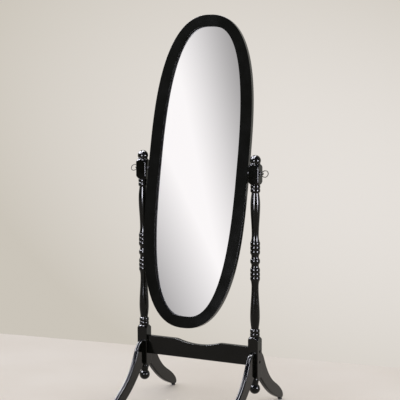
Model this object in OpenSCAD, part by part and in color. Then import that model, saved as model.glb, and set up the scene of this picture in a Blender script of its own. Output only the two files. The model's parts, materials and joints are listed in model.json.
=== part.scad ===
// Cheval mirror: a tall oval framed mirror that tilts between two turned posts on four scrolled legs.
// Units are millimetres, +Z is up, the front faces -Y.
// The origin is on the floor, midway between the posts.

/* [Stand] */
// Distance between the centre lines of the two posts
post_spacing = 474; // [440:1:560]
// Side of the square blocks on each post
block_w = 40.6; // [38:0.2:46]
// Radius of the eased upright edges of the blocks
block_edge_r = 1.6; // [0.6:0.1:4]
// Height of the rounded shoulder at each end of a block
shoulder_h = 13.5; // [9:0.5:18]
// Radius of the turning where it meets a block
shoulder_r = 17.2; // [15:0.1:18]
// Height of the foot of the lower block above the floor
lower_block_z = 141; // [136:1:150]
// Height of the lower block with its shoulders
lower_block_h = 159.5; // [155:0.5:190]
// Length of the turned spindle between the two blocks
spindle_len = 572.5; // [540:0.5:700]
// Height of the upper block with its shoulders
upper_block_h = 76.5; // [70:0.5:100]
// Height of the tilting axis above the foot of the upper block
pivot_rise = 41.5; // [36:0.5:46]

/* [Post turning] */
// Radius of the ball finial
finial_r = 20.2; // [17:0.1:24]
// Height of the finial's centre above the upper block
finial_rise = 13; // [10:0.5:16]
// Radius of the small collar under the finial
finial_collar_r = 18.8; // [17.5:0.1:20]
// Height of the small collar under the finial
finial_collar_h = 3.4; // [2:0.2:5]
// Radius of the pendant ball under the lower block
pendant_r = 20.5; // [17:0.1:24]
// Drop of the pendant's centre below the lower block
pendant_drop = 40; // [34:1:50]
// Radius of the neck above the pendant ball
pendant_neck_r = 13.5; // [10:0.1:15]
// Radius of the bead above the pendant's neck
pendant_bead_r = 17; // [16.2:0.1:19]
// Height of the bead above the pendant's neck
pendant_bead_h = 10.5; // [7:0.5:13]
// Radius of the beads on the spindle
bead_r = 18.4; // [17:0.1:21]
// Radius at the bottom of the grooves beside the beads
groove_r = 16.3; // [15.5:0.1:16.8]
// Pitch of the three beads above and below the middle one
bead_pitch = 15.6; // [12:0.2:18]
// Pitch of the two beads at each end of the spindle
end_bead_pitch = 14.2; // [11:0.2:16]
// Height of the single middle bead
mid_bead_h = 18; // [14:0.5:22]
// Radius of the foot of the middle bead
mid_foot_r = 15.3; // [14.6:0.1:16]
// Radius of the necks beside the middle bead
mid_neck_r = 14; // [12:0.1:14.5]
// Distance from the middle of the spindle to each of those necks
mid_neck_at = 17; // [13:0.5:20]
// Distance from the middle of the spindle to the first triple bead
triple_at = 26.4; // [22:0.2:30]
// Radius of the waists of the two vases
waist_r = 13.4; // [11:0.1:14.5]
// Distance from the triple beads to the waist
waist_gap = 22.8; // [15:0.2:30]
// Radius of the swell of the vases
swell_r = 18.2; // [16:0.1:20]
// Distance from the end of the spindle to the swell
swell_gap = 76.3; // [60:0.5:90]
// Radius of the neck beside the end beads
end_neck_r = 14.2; // [12:0.1:15]
// Height of the neck beside the end beads
end_neck_h = 2.6; // [1:0.2:5]

/* [Stretcher] */
// Thickness of the board between the posts
stretcher_t = 19; // [15:0.5:25]
// Height of the board between the posts
stretcher_h = 71; // [62:1:85]
// Height of the board's lower edge above the foot of the lower block
stretcher_rise = 48.5; // [44:0.5:60]
// Width of the scallop in the board's upper edge
scallop_w = 184; // [120:1:260]
// Depth of the scallop in the board's upper edge
scallop_d = 14.8; // [5:0.2:25]

/* [Legs] */
// Distance from the centre of the post to the tip of each foot
leg_reach = 253; // [235:1:300]
// Thickness of the leg boards
leg_t = 18; // [14:0.5:24]
// Height of the top of the leg above the foot of the lower block
leg_top_rise = 103; // [98:1:120]
// Height of the lower end of the leg's joint above the foot of the lower block
leg_heel_rise = 6; // [2:1:12]
// Height of the upper edge of the leg where it turns over to the toe
toe_rise = 82; // [76:1:92]
// Radius of the foot glides
glide_r = 8; // [6:0.5:9]
// Height of the foot glides
glide_h = 6; // [4:0.5:10]

/* [Oval mirror] */
// Half width of the frame
frame_a = 209; // [185:1:212]
// Half height of the frame
frame_b = 593; // [540:0.5:600]
// Fullness of the frame's sides: 2 is an ellipse and more is straighter
side_fullness = 3.1; // [2.7:0.05:3.3]
// Fullness of the frame's ends: 2 is an ellipse and more is flatter
end_fullness = 2.35; // [2.3:0.05:2.8]
// Fullness of the opening all round
opening_fullness = 2.7; // [2.5:0.05:2.9]
// Thickness of the frame
frame_t = 19; // [17.5:0.5:24]
// Width of the frame's face at the sides
rail_side_w = 46; // [42:0.5:52]
// Width of the frame's face at the top and bottom
rail_end_w = 43.5; // [40:0.5:50]
// Depth from the frame's face to the glass
glass_depth = 9.5; // [8:0.5:10]
// Width of the lip that covers the edge of the glass
lip_w = 7; // [5:0.5:9]
// Width of the shelf that the backing board is screwed to
shelf_w = 10; // [8.5:0.5:12]
// Thickness of the glass
glass_t = 3; // [2:0.5:4]
// Thickness of the foam sheet behind the glass
foam_t = 2; // [1:0.5:3]
// Thickness of the backing board
board_t = 3; // [2.5:0.5:3.5]
// Tilt of the mirror at rest, with its top to the back
rest_tilt = 11.6; // [0:0.1:40]

/* [Thumb screws] */
// Radius of the thumb screw's shank
screw_r = 3; // [2.5:0.5:4]
// Depth that the shank reaches into the frame
screw_reach = 12.5; // [10:0.5:14]
// Radius of the collar on the outer face of the post
collar_r = 10; // [7:0.5:14]
// Thickness of the collar on the outer face of the post
collar_t = 4; // [2:0.5:6]
// Radius of the thumb screw's boss
boss_r = 4.5; // [4.3:0.1:6]
// Length of the thumb screw's boss
boss_len = 8.2; // [6:0.1:10]
// Radius of the finger ring, to the middle of its wire
ring_r = 12.4; // [9:0.1:16]
// Radius of the finger ring's wire
ring_wire_r = 1.6; // [1.2:0.1:2]
// Turn of the right ring at rest, with its top to the back
right_ring_turn = 19; // [0:1:90]
// Turn of the left ring at rest, with its top to the back
left_ring_turn = 30; // [0:1:90]
// Radius of the spacer between post and frame
spacer_r = 8; // [7:0.5:14]
// Radius of the threaded insert in the frame
insert_r = 5; // [4.6:0.1:5.6]
// Length of the threaded insert in the frame
insert_len = 15; // [14.5:0.5:18]

/* [Fasteners] */
// Radius of the bolts through the lower blocks
bolt_r = 3; // [2.5:0.5:4]
// Length of the bolts under their heads
bolt_len = 70; // [62:1:80]
// Radius of the bolt heads
bolt_head_r = 5; // [4.5:0.1:6]
// Height of the bolt heads
bolt_head_h = 4; // [3:0.5:5]
// Depth of the recess for each bolt head
bolt_recess = 7; // [5:0.5:10]
// Distance between the two bolts at each end of the stretcher
bolt_spacing = 40; // [36:1:44]
// Radius of the barrel nuts
barrel_r = 5; // [4.8:0.1:6]
// Length of the barrel nuts
barrel_len = 14; // [10:0.5:14]
// Distance from the end of the stretcher to the barrel nuts
barrel_at = 30; // [24:0.5:34]
// Radius of the wooden dowels in the legs
dowel_r = 4; // [3:0.5:5]
// Length of the wooden dowels in the legs
dowel_len = 28; // [20:1:30]
// Distance between the two dowels of a leg
dowel_spacing = 44; // [36:1:50]
// Radius of the nail of a foot glide
nail_r = 1.5; // [1:0.1:2]
// Length of the nail of a foot glide
nail_len = 12; // [8:1:16]
// Radius of the small screws of the backing board
tack_r = 1.5; // [1:0.1:2]
// Length of the small screws of the backing board
tack_len = 9; // [6:0.5:10]
// Radius of the heads of those screws
tack_head_r = 3.2; // [2.6:0.1:3.6]
// Height of the heads of those screws
tack_head_h = 1.3; // [1:0.1:1.4]
// Number of small screws round the backing board
tack_count = 10; // [6:2:14]

/* [Clearances] */
// Radial clearance of a shaft that turns in its hole
running_clear = 0.06; // [0.03:0.01:0.09]
// Radial clearance of a pin, dowel or bolt that is fixed in its hole
fixed_clear = 0.1; // [0.05:0.05:0.3]
// Gap between faces that move past each other
face_gap = 0.3; // [0.2:0.05:0.6]
// Clearance round the edge of the glass, foam and backing board
sheet_clear = 1; // [0.5:0.1:1.5]

/* [Hidden] */

LEFT = -1;
RIGHT = 1;
FRONT = -1;
BACK = 1;
black_paint = [0.09, 0.09, 0.09];
black_plastic = [0.16, 0.16, 0.17];
dark_steel = [0.42, 0.41, 0.40];
bright_steel = [0.72, 0.72, 0.74];
// Steps in half a bead, in a ball, in a long curve and round the oval
bead_steps = 10;
ball_steps = 18;
curve_steps = 10;
oval_steps = 120;
// Added to a cutting tool so that it passes its faces
cut = 1;
$fn = 64;

// Heights of the post, stacked from the lower block
lower_block_top = lower_block_z + lower_block_h;
upper_block_z = lower_block_top + spindle_len;
upper_block_top = upper_block_z + upper_block_h;
spindle_mid = lower_block_top + spindle_len / 2;
finial_z = upper_block_top + finial_rise;
pendant_z = lower_block_z - pendant_drop;
pivot_z = upper_block_z + pivot_rise;
// Faces of the post
post_x = post_spacing / 2;
block_face = block_w / 2;
inner_face = post_x - block_face;
outer_face = post_x + block_face;
// Radius that clears the corners of a block
corner_r = block_w / sqrt(2) + 0.2;

// Places along half of the spindle, from its middle
half_spindle = spindle_len / 2;
triple_end = triple_at + 3 * bead_pitch;
waist_at = triple_end + waist_gap;
swell_at = half_spindle - swell_gap;
end_beads_at = half_spindle - 2 * end_bead_pitch;
end_neck_at = end_beads_at - end_neck_h;

// Stretcher and its bolts
stretcher_z = lower_block_z + stretcher_rise;
stretcher_len = 2 * inner_face;
scallop_r = (scallop_w * scallop_w / 4 + scallop_d * scallop_d) / (2 * scallop_d);
bolt_mid_z = stretcher_z + stretcher_h / 2;
bolt_seat = outer_face - bolt_recess;
barrel_x = inner_face - barrel_at;
bolt_heights = [bolt_mid_z - bolt_spacing / 2, bolt_mid_z + bolt_spacing / 2];

// Legs
leg_top = lower_block_z + leg_top_rise;
leg_heel = lower_block_z + leg_heel_rise;
dowel_mid_z = (leg_top + leg_heel) / 2;
dowel_heights = [dowel_mid_z - dowel_spacing / 2, dowel_mid_z + dowel_spacing / 2];
glide_y = leg_reach - 15;

// Oval mirror, in its own frame with the tilting axis along X at the origin
face_y = -frame_t / 2;
back_y = frame_t / 2;
glass_y = face_y + glass_depth;
foam_y = glass_y + glass_t;
board_y = foam_y + foam_t;
board_back_y = board_y + board_t;
opening_a = frame_a - rail_side_w;
opening_b = frame_b - rail_end_w;
rebate_a = opening_a + lip_w;
rebate_b = opening_b + lip_w;
shelf_a = rebate_a + shelf_w;
shelf_b = rebate_b + shelf_w;

// Thumb screws, from the middle of the part outwards
spacer_end = inner_face;
spacer_start = frame_a + face_gap;
collar_start = outer_face + face_gap;
boss_start = collar_start + collar_t + face_gap;
boss_end = boss_start + boss_len;
shank_end = frame_a - screw_reach;
ring_x = boss_start + ring_r + ring_wire_r;
shaft_hole_r = screw_r + running_clear;

// Points of a cubic curve between p0 and p3, without its last point
function curve(p0, p1, p2, p3, steps = curve_steps) = [
    for (i = [0 : steps - 1])
    let (k = i / steps, m = 1 - k)
    m * m * m * p0 + 3 * m * m * k * p1 + 3 * m * k * k * p2 + k * k * k * p3
];

// Points of an arc, without its last point
function arc(z, r, from, to, steps) = [
    for (i = [0 : steps - 1])
    let (a = from + (to - from) * i / steps)
    [r * cos(a), z + r * sin(a)]
];

// A bead of the given height on a foot radius, without its last point
function bead(z, foot_r, top_r, height) = [
    for (i = [0 : bead_steps - 1])
    let (a = -90 + 180 * i / bead_steps)
    [foot_r + (top_r - foot_r) * cos(a), z + height / 2 * sin(a)]
];

// A cove that falls from radius r0 at z0 and lies flat at radius r1 at z1
function falling(z0, r0, z1, r1, steps = curve_steps / 2) = [
    for (i = [0 : steps - 1])
    let (k = i / steps)
    [r1 + (r0 - r1) * (1 - k) * (1 - k), z0 + (z1 - z0) * k]
];

// A cove that lies flat at radius r0 at z0 and rises to radius r1 at z1
function rising(z0, r0, z1, r1, steps = curve_steps / 2) = [
    for (i = [0 : steps - 1])
    let (k = i / steps)
    [r0 + (r1 - r0) * k * k, z0 + (z1 - z0) * k]
];

// The long easy swell of a vase from its waist
function swelling(z0, r0, z1, r1) = [
    for (i = [0 : curve_steps - 1])
    let (k = i / curve_steps)
    [r0 + (r1 - r0) * (1 - cos(180 * k)) / 2, z0 + (z1 - z0) * k]
];

// The quicker fall of a vase from its swell to its neck
function shrinking(z0, r0, z1, r1) = [
    for (i = [0 : curve_steps - 1])
    let (k = i / curve_steps)
    [r1 + (r0 - r1) * cos(90 * k), z0 + (z1 - z0) * k]
];

// Half of the spindle from its middle outwards, as radius and distance
half_profile = concat(
    [for (p = bead(0, mid_foot_r, bead_r, mid_bead_h)) if (p[1] >= -0.001) p],
    falling(mid_bead_h / 2, mid_foot_r, mid_neck_at, mid_neck_r),
    rising(mid_neck_at, mid_neck_r, triple_at, groove_r),
    [for (j = [0 : 2]) each bead(triple_at + (j + 0.5) * bead_pitch, groove_r, bead_r, bead_pitch)],
    falling(triple_end, groove_r, waist_at, waist_r),
    swelling(waist_at, waist_r, swell_at, swell_r),
    shrinking(swell_at, swell_r, end_neck_at, end_neck_r),
    rising(end_neck_at, end_neck_r, end_beads_at, groove_r),
    [for (j = [0 : 1]) each bead(end_beads_at + (j + 0.5) * end_bead_pitch, groove_r, bead_r, end_bead_pitch)],
    [[groove_r, half_spindle]]
);

// The rounded shoulder of a block, from the turning out to the corners
function shoulder(z, up) = [
    for (i = [0 : curve_steps])
    let (k = i / curve_steps)
    [shoulder_r + (corner_r - shoulder_r) * k, z + up * shoulder_h * pow(k, 1.5)]
];

function reversed(points) = [for (i = [len(points) - 1 : -1 : 0]) points[i]];

// The whole turned outline of a post, from the pendant up to the finial
pendant_top_angle = acos(pendant_neck_r / pendant_r);
pendant_neck_z = pendant_z + pendant_r * sin(pendant_top_angle);
pendant_bead_z = lower_block_z - pendant_bead_h;
finial_foot_z = upper_block_top + finial_collar_h;
finial_foot_angle = asin((finial_foot_z - finial_z) / finial_r);
post_profile = concat(
    arc(pendant_z, pendant_r, -90, pendant_top_angle, ball_steps),
    rising(pendant_neck_z, pendant_neck_r, pendant_bead_z, pendant_neck_r + 2),
    bead(lower_block_z - pendant_bead_h / 2, pendant_neck_r + 2, pendant_bead_r, pendant_bead_h),
    shoulder(lower_block_z, 1),
    reversed(shoulder(lower_block_top, -1)),
    reversed([for (p = half_profile) if (p[1] > 0.001) [p[0], spindle_mid - p[1]]]),
    [for (p = half_profile) [p[0], spindle_mid + p[1]]],
    shoulder(upper_block_z, 1),
    reversed(shoulder(upper_block_top, -1)),
    bead(upper_block_top + finial_collar_h / 2, shoulder_r - 0.4, finial_collar_r, finial_collar_h),
    arc(finial_z, finial_r, finial_foot_angle, 90, ball_steps),
    [[0, finial_z + finial_r]]
);

// A square with eased corners, centred on the origin
function eased_square(w, r, steps = 4) = [
    for (quarter = [0 : 3])
    for (i = [0 : steps])
    let (a = 90 * quarter, b = a + 90 * i / steps, c = w / 2 - r)
    [sqrt(2) * c * cos(a + 45) + r * cos(b), sqrt(2) * c * sin(a + 45) + r * sin(b)]
];

// A full oval between an ellipse and a rectangle
function oval(a, b, side, end) = [
    for (i = [0 : oval_steps - 1])
    oval_point(a, b, 360 * i / oval_steps, side, end)
];
function oval_point(a, b, t, side = opening_fullness, end = opening_fullness) =
    let (k = oval_reach(abs(cos(t)), abs(sin(t)), side, end))
    [a * k * cos(t), b * k * sin(t)];

// How far the oval reaches in one direction, closed in on by steps
function oval_reach(c, s, side, end, k = 1, steps = 8) =
    let (u = pow(k * c, end), v = pow(k * s, side))
    steps == 0 ? k : oval_reach(c, s, side, end, k - k * (u + v - 1) / (end * u + side * v), steps - 1);

// The side outline of a leg, as distance from the post's centre and height
heel = [block_face, leg_heel];
knee = [block_face + 49.7, leg_top - 41];
toe = [leg_reach - 73, toe_rise];
toe_tip = [leg_reach - 1, glide_h + 14];
sole_front = [leg_reach - 9, glide_h];
sole_back = [leg_reach - 24, glide_h];
sole_rise = [leg_reach - 31, glide_h + 4.5];
leg_outline = concat(
    curve([block_face, leg_top], [block_face + 21.7, leg_top - 4], [block_face + 37.7, leg_top - 18], knee),
    curve(knee, knee + [22, -42], toe + [-62, 35], toe),
    curve(toe, toe + [26, -14.7], toe_tip + [-5, 22], toe_tip),
    curve(toe_tip, toe_tip + [1.4, -8], sole_front + [6, 0], sole_front, curve_steps / 2),
    [sole_front, sole_back],
    curve(sole_rise, sole_rise + [-114, 39.5], heel + [43.7, -35], heel),
    [heel]
);

// A round bar along X from x0 to x1, at height z
module bar_x(x0, x1, r, z = 0) {
    translate([x0, 0, z])
        rotate([0, 90, 0])
            cylinder(h = x1 - x0, r = r);
}

// A round bar along Y from y0 to y1, at the given x and z
module bar_y(y0, y1, r, x = 0, z = 0) {
    translate([x, y0, z])
        rotate([-90, 0, 0])
            cylinder(h = y1 - y0, r = r);
}

// The same thing on the left or on the right
module on_side(side) {
    if (side == LEFT)
        mirror([1, 0, 0]) children();
    else
        children();
}

// The same thing on the front or on the back
module on_face(face) {
    if (face == FRONT)
        mirror([0, 1, 0]) children();
    else
        children();
}

// One post, turned and squared from a single piece, drawn on the right
module post() {
    color(black_paint)
        difference() {
            translate([post_x, 0, 0])
                intersection() {
                    rotate_extrude(convexity = 10)
                        polygon(post_profile);
                    translate([0, 0, pendant_z - pendant_r - cut])
                        linear_extrude(finial_z + finial_r - pendant_z + pendant_r + 2 * cut)
                            polygon(eased_square(block_w, block_edge_r));
                }
            bar_x(inner_face - cut, outer_face + cut, shaft_hole_r, pivot_z);
            for (z = bolt_heights) {
                bar_x(inner_face - cut, outer_face + cut, bolt_r + fixed_clear, z);
                bar_x(bolt_seat, outer_face + cut, bolt_head_r + 0.6, z);
            }
            for (face = [FRONT, BACK])
                on_face(face)
                    dowel_holes();
        }
}

// Holes for the two dowels of one leg, half in the post and half in the leg
module dowel_holes() {
    for (z = dowel_heights)
        bar_y(block_face - dowel_len / 2 - fixed_clear, block_face + dowel_len / 2 + fixed_clear,
            dowel_r + fixed_clear, post_x, z);
}

// The board between the posts
module stretcher() {
    color(black_paint)
        difference() {
            translate([-stretcher_len / 2, -stretcher_t / 2, stretcher_z])
                cube([stretcher_len, stretcher_t, stretcher_h]);
            translate([0, 0, stretcher_z + stretcher_h - scallop_d + scallop_r])
                rotate([90, 0, 0])
                    cylinder(h = stretcher_t + 2 * cut, r = scallop_r, center = true, $fn = 240);
            for (side = [LEFT, RIGHT])
                on_side(side)
                    for (z = bolt_heights) {
                        bar_x(bolt_seat - bolt_len - cut, inner_face + cut, bolt_r + fixed_clear, z);
                        bar_y(-barrel_len / 2 - fixed_clear, stretcher_t / 2 + cut, barrel_r + fixed_clear,
                            barrel_x, z);
                    }
        }
}

// One scrolled leg, drawn at the back right
module leg() {
    color(black_paint)
        difference() {
            translate([post_x, 0, 0])
                rotate([90, 0, 90])
                    linear_extrude(leg_t, center = true)
                        polygon(leg_outline);
            dowel_holes();
            translate([post_x, glide_y, 0])
                cylinder(h = glide_h + nail_len + fixed_clear, r = nail_r + fixed_clear);
        }
}

// Wooden dowels of the four legs
module leg_dowels() {
    color("burlywood")
        for (side = [LEFT, RIGHT], face = [FRONT, BACK])
            on_side(side)
                on_face(face)
                    for (z = dowel_heights)
                        bar_y(block_face - dowel_len / 2, block_face + dowel_len / 2, dowel_r, post_x, z);
}

// Nail-on glides under the four feet
module foot_glides() {
    color(black_plastic)
        for (side = [LEFT, RIGHT], face = [FRONT, BACK])
            on_side(side)
                on_face(face)
                    translate([post_x, glide_y, 0])
                        rotate_extrude()
                            polygon([[0, 0], [glide_r - 1.5, 0], [glide_r, 1.5], [glide_r, glide_h],
                                [nail_r, glide_h], [nail_r, glide_h + nail_len - 2],
                                [0, glide_h + nail_len]]);
}

// Two bolts through the lower block into the end of the stretcher, drawn on the right
module stretcher_bolts() {
    color(dark_steel)
        for (z = bolt_heights)
            difference() {
                union() {
                    bar_x(bolt_seat - bolt_len, bolt_seat, bolt_r, z);
                    bar_x(bolt_seat, bolt_seat + bolt_head_h, bolt_head_r, z);
                }
                translate([bolt_seat + bolt_head_h / 2, 0, z])
                    rotate([0, 90, 0])
                        cylinder(h = bolt_head_h, r = bolt_head_r * 0.5, $fn = 6);
            }
}

// Two barrel nuts in the stretcher, drawn on the right
module barrel_nuts() {
    color(bright_steel)
        for (z = bolt_heights)
            difference() {
                bar_y(-barrel_len / 2, barrel_len / 2, barrel_r, barrel_x, z);
                bar_x(barrel_x - barrel_r - cut, barrel_x + barrel_r + cut, bolt_r + fixed_clear, z);
            }
}

// Puts a piece of the oval mirror in its place between the posts
module in_mirror() {
    translate([0, 0, pivot_z])
        rotate([-rest_tilt, 0, 0])
            children();
}

// An oval slab between the depths y0 and y1
module oval_slab(a, b, y0, y1, side = opening_fullness, end = opening_fullness) {
    translate([0, y1, 0])
        rotate([90, 0, 0])
            linear_extrude(y1 - y0)
                polygon(oval(a, b, side, end));
}

// Holes or shanks of the small screws round the backing board
module tacks(y0, y1, r) {
    for (i = [0 : tack_count - 1]) {
        p = oval_point((rebate_a + shelf_a) / 2, (rebate_b + shelf_b) / 2, 360 * (i + 0.5) / tack_count);
        bar_y(y0, y1, r, p[0], p[1]);
    }
}

module oval_frame() {
    color(black_paint)
        in_mirror()
            difference() {
                oval_slab(frame_a, frame_b, face_y, back_y, side_fullness, end_fullness);
                oval_slab(opening_a, opening_b, face_y - cut, back_y + cut);
                oval_slab(rebate_a, rebate_b, glass_y, back_y + cut);
                oval_slab(shelf_a, shelf_b, board_y, back_y + cut);
                tacks(board_back_y - tack_len - fixed_clear, board_y + cut, tack_r + fixed_clear);
                for (side = [LEFT, RIGHT])
                    on_side(side)
                        bar_x(frame_a - insert_len - 3, frame_a + cut, insert_r + fixed_clear);
            }
}

module mirror_glass() {
    color([0.80, 0.83, 0.85])
        in_mirror()
            oval_slab(rebate_a - sheet_clear, rebate_b - sheet_clear, glass_y, foam_y);
}

module foam_sheet() {
    color([0.88, 0.88, 0.84])
        in_mirror()
            oval_slab(rebate_a - sheet_clear, rebate_b - sheet_clear, foam_y, board_y);
}

module backing_board() {
    color([0.45, 0.32, 0.20])
        in_mirror()
            difference() {
                oval_slab(shelf_a - sheet_clear, shelf_b - sheet_clear, board_y, board_back_y);
                tacks(board_y - cut, board_back_y + cut, tack_r + fixed_clear);
            }
}

module backing_screws() {
    color(bright_steel)
        in_mirror() {
            tacks(board_back_y - tack_len, board_back_y, tack_r);
            tacks(board_back_y, board_back_y + tack_head_h, tack_head_r);
        }
}

// A threaded insert with two barbs, sunk in the edge of the frame, drawn on the right
module threaded_insert() {
    color(bright_steel)
        in_mirror()
            difference() {
                translate([frame_a - insert_len, 0, 0])
                    rotate([0, 90, 0])
                        rotate_extrude()
                            polygon([[0, 0], [insert_r - 0.8, 0], [insert_r, 4], [insert_r - 0.8, 4],
                                [insert_r, 9], [insert_r - 0.8, 9], [insert_r, insert_len - 1.5],
                                [insert_r, insert_len - 0.3], [0, insert_len - 0.3]]);
                bar_x(frame_a - insert_len - cut, frame_a + cut, shaft_hole_r);
            }
}

// A spacer that keeps the frame off the post, drawn on the right
module spacer() {
    color(black_plastic)
        difference() {
            bar_x(spacer_start, spacer_end, spacer_r, pivot_z);
            bar_x(spacer_start - cut, spacer_end + cut, shaft_hole_r, pivot_z);
        }
}

// A domed collar under the thumb screw's boss, drawn on the right
module collar() {
    color(black_plastic)
        translate([collar_start, 0, pivot_z])
            rotate([0, 90, 0])
                rotate_extrude()
                    polygon([[shaft_hole_r, 0], [collar_r, 0], [collar_r, collar_t * 0.3],
                        [collar_r - 1.2, collar_t * 0.62], [boss_r + 2.4, collar_t * 0.88],
                        [boss_r + 0.6, collar_t], [shaft_hole_r, collar_t]]);
}

// A thumb screw with a finger ring for its head, drawn on the right
module thumb_screw(turn) {
    color(dark_steel)
        translate([0, 0, pivot_z])
            rotate([-turn, 0, 0]) {
                translate([shank_end, 0, 0])
                    rotate([0, 90, 0])
                        rotate_extrude()
                            polygon([[0, 0], [screw_r - 1, 0], [screw_r, 1], [screw_r, boss_start - shank_end],
                                [boss_r, boss_start - shank_end], [boss_r, boss_end - shank_end - 3],
                                [boss_r - 1.2, boss_end - shank_end - 1], [0, boss_end - shank_end]]);
                translate([ring_x, 0, 0])
                    rotate([90, 0, 0])
                        rotate_extrude()
                            translate([ring_r, 0])
                                circle(r = ring_wire_r, $fn = 24);
            }
}

on_side(LEFT) post();  // left_post
post();  // right_post
stretcher();
on_side(LEFT) on_face(FRONT) leg();  // front_left_leg
on_face(FRONT) leg();  // front_right_leg
on_side(LEFT) leg();  // back_left_leg
leg();  // back_right_leg
leg_dowels();
foot_glides();
on_side(LEFT) stretcher_bolts();  // left_stretcher_bolts
stretcher_bolts();  // right_stretcher_bolts
on_side(LEFT) barrel_nuts();  // left_barrel_nuts
barrel_nuts();  // right_barrel_nuts
oval_frame();
mirror_glass();
foam_sheet();
backing_board();
backing_screws();
on_side(LEFT) threaded_insert();  // left_threaded_insert
threaded_insert();  // right_threaded_insert
on_side(LEFT) spacer();  // left_spacer
spacer();  // right_spacer
on_side(LEFT) collar();  // left_collar
collar();  // right_collar
on_side(LEFT) thumb_screw(left_ring_turn);  // left_thumb_screw
thumb_screw(right_ring_turn);  // right_thumb_screw
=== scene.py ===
import json
import math

import bmesh
import bpy
from mathutils import Matrix, Vector

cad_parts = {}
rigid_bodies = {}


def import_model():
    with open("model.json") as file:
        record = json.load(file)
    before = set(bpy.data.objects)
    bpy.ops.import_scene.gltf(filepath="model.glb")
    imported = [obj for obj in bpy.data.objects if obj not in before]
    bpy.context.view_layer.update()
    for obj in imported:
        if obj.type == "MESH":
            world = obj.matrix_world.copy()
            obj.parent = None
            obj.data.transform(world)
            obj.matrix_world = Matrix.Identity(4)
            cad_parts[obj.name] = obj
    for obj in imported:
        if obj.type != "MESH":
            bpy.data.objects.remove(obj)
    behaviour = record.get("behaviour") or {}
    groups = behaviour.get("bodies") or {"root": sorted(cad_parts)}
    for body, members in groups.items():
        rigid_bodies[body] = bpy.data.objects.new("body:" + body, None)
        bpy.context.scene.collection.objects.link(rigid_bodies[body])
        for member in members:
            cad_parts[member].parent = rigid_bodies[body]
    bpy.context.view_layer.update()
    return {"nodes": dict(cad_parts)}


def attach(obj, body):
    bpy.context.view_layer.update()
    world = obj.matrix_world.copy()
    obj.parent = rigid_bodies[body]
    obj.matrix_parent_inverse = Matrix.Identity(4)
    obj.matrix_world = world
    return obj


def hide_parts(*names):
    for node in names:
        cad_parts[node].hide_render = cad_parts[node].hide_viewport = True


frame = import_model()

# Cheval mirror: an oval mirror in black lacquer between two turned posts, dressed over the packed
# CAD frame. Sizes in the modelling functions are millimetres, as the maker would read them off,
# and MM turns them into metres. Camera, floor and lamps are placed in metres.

MM = 0.001

# Directions of the stand itself
RIGHT, BACK, UP = (1, 0, 0), (0, 1, 0), (0, 0, 1)

# Places on the stand, and the radii of the holes drilled in its wood and the oval's
POST_X = 237.0
PIVOT_Z = 914.5
BLOCK_FACE = 20.3
OUTER_FACE = POST_X + BLOCK_FACE
SPINDLE_MID = 586.75
BOLT_HEIGHTS = (205, 245)
NUT_X = 186.7
SCREW_HOLE = 3.15
HARDWARE_HOLE = 5.1

HALF_TURN = Matrix.Rotation(math.pi, 4, "Z")
PIVOT_AXIS = Matrix.Translation((0, 0, PIVOT_Z * MM))
# The mirror hangs on the tilting axis with its top to the back
LEAN = math.radians(11.6)
HANG = PIVOT_AXIS @ Matrix.Rotation(-LEAN, 4, "X")


# Workshop: the few ways in which every piece is made

def clear_bench():
    """Leaves nothing selected, because an operator takes all that is."""
    bpy.ops.object.select_all(action="DESELECT")


def on_bench(piece):
    """Puts one piece on the bench, selected and active."""
    clear_bench()
    piece.select_set(True)
    bpy.context.view_layer.objects.active = piece
    return piece


def named(name):
    """Names the piece that was just added."""
    piece = bpy.context.object
    piece.name = piece.data.name = name
    return piece


def open_mesh(piece):
    """Opens a piece for shaping, with all of it selected."""
    on_bench(piece)
    bpy.ops.object.mode_set(mode="EDIT")
    bpy.ops.mesh.select_mode(type="VERT")
    bpy.ops.mesh.select_all(action="SELECT")


def close_mesh():
    """Closes the piece that is open."""
    bpy.ops.object.mode_set(mode="OBJECT")


def pick_edges(piece, test):
    """Selects the edges of the open piece that pass a test, and no others."""
    bpy.ops.mesh.select_mode(type="EDGE")
    bpy.ops.mesh.select_all(action="DESELECT")
    mesh = bmesh.from_edit_mesh(piece.data)
    for edge in mesh.edges:
        if test(edge):
            edge.select_set(True)
    mesh.select_flush_mode()
    bmesh.update_edit_mesh(piece.data)


def true_up():
    """Merges doubled corners and turns all faces outwards."""
    bpy.ops.mesh.select_all(action="SELECT")
    bpy.ops.mesh.remove_doubles(threshold=0.000004)
    bpy.ops.mesh.normals_make_consistent(inside=False)


def turned(name, outline, foot, axis, out, steps=64):
    """A piece turned on the lathe.

    Its outline of radius and height is drawn corner by corner from the foot, and spun round.
    """
    foot, axis, out = Vector(foot) * MM, Vector(axis), Vector(out)
    places = [foot + (axis * height + out * radius) * MM for radius, height in outline]
    clear_bench()
    bpy.ops.mesh.primitive_plane_add(size=MM)
    piece = named(name)
    open_mesh(piece)
    bpy.ops.mesh.merge(type="CENTER")
    bpy.ops.transform.translate(value=places[0])
    for here, there in zip(places, places[1:]):
        bpy.ops.mesh.extrude_region_move(TRANSFORM_OT_translate={"value": there - here})
    bpy.ops.mesh.select_all(action="SELECT")
    bpy.ops.mesh.spin(steps=steps, angle=math.tau, center=foot, axis=axis)
    true_up()
    close_mesh()
    return piece


def sawn(name, outline, thickness):
    """A board sawn to an outline: a flat disc laid on it corner by corner, then made thick."""
    clear_bench()
    bpy.ops.mesh.primitive_circle_add(vertices=len(outline), fill_type="NGON")
    piece = named(name)
    for corner, place in zip(piece.data.vertices, outline):
        corner.co = Vector(place) * MM
    open_mesh(piece)
    push = {"value": Vector(thickness) * MM}
    bpy.ops.mesh.extrude_region_move(TRANSFORM_OT_translate=push)
    true_up()
    close_mesh()
    return piece


def spread(edge):
    """How far an edge runs along x, y and z, in metres."""
    first, second = edge.verts
    return [abs(a - b) for a, b in zip(first.co, second.co)]


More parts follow.
